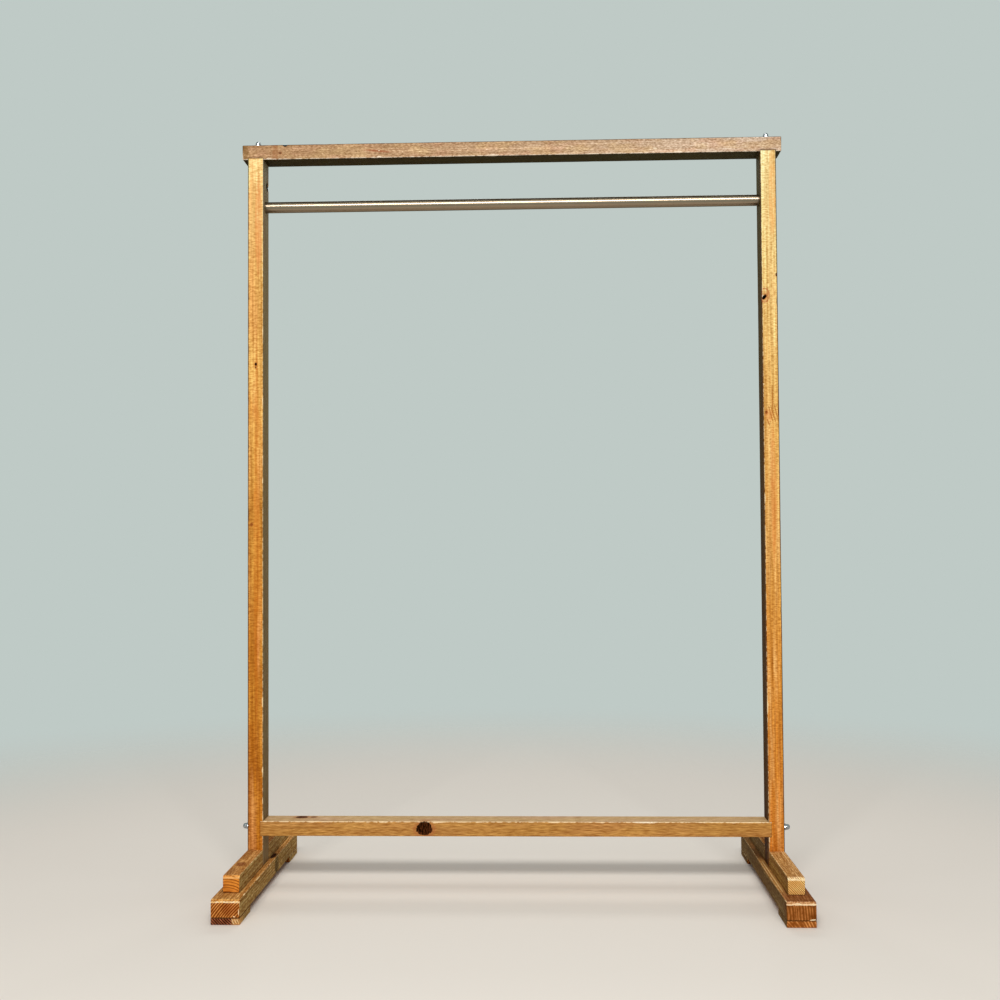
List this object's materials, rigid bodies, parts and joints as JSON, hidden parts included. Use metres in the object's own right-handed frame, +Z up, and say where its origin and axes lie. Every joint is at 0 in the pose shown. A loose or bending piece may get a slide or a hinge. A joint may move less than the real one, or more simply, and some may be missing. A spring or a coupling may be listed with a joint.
{
  "type": "clothes rack",
  "caption": "Free-standing timber clothes rack: two posts on stacked feet, a flat top rail, a low stretcher and a bright steel hanging pipe.",
  "frame": {"origin": "on the floor, under the middle of the rack", "axes": "+Z up, +X along the hanging pipe to the rack's right as seen from the front, -Y to the front"},
  "size_m": [1.2344, 0.6, 1.7042],
  "materials": {
    "post_timber": "honey-coloured softwood, oiled and worn",
    "stretcher_timber": "golden tan softwood with a dark knot, pale worn front edge",
    "rail_timber": "weathered pinkish brown softwood, scuffed",
    "foot_timber": "orange brown softwood with open end grain",
    "stainless_steel": "polished stainless tube",
    "chromed_steel": "bright plated cap nuts and washers",
    "zinc_plated_steel": "dull zinc plated bolts and wood screws"
  },
  "bodies": {
    "root": {"top_rail": "rail_timber", "left_post": "post_timber", "right_post": "post_timber", "stretcher": "stretcher_timber", "hanging_pipe": "stainless_steel", "left_runner": "foot_timber", "left_front_pad": "foot_timber", "left_rear_pad": "foot_timber", "left_front_block": "foot_timber", "left_rear_block": "foot_timber", "right_runner": "foot_timber", "right_front_pad": "foot_timber", "right_rear_pad": "foot_timber", "right_front_block": "foot_timber", "right_rear_block": "foot_timber", "left_top_nut": "chromed_steel", "left_side_nut": "chromed_steel", "right_top_nut": "chromed_steel", "right_side_nut": "chromed_steel", "left_top_washer": "chromed_steel", "left_side_washer": "chromed_steel", "right_top_washer": "chromed_steel", "right_side_washer": "chromed_steel", "left_top_bolt": "zinc_plated_steel", "left_side_bolt": "zinc_plated_steel", "right_top_bolt": "zinc_plated_steel", "right_side_bolt": "zinc_plated_steel", "left_post_screw_front": "zinc_plated_steel", "left_post_screw_rear": "zinc_plated_steel", "left_front_block_screw_near": "zinc_plated_steel", "left_front_block_screw_far": "zinc_plated_steel", "left_rear_block_screw_near": "zinc_plated_steel", "left_rear_block_screw_far": "zinc_plated_steel", "left_front_pad_screw_inner": "zinc_plated_steel", "left_front_pad_screw_outer": "zinc_plated_steel", "left_rear_pad_screw_inner": "zinc_plated_steel", "left_rear_pad_screw_outer": "zinc_plated_steel", "right_post_screw_front": "zinc_plated_steel", "right_post_screw_rear": "zinc_plated_steel", "right_front_block_screw_near": "zinc_plated_steel", "right_front_block_screw_far": "zinc_plated_steel", "right_rear_block_screw_near": "zinc_plated_steel", "right_rear_block_screw_far": "zinc_plated_steel", "right_front_pad_screw_inner": "zinc_plated_steel", "right_front_pad_screw_outer": "zinc_plated_steel", "right_rear_pad_screw_inner": "zinc_plated_steel", "right_rear_pad_screw_outer": "zinc_plated_steel"}
  },
  "joints": []
}
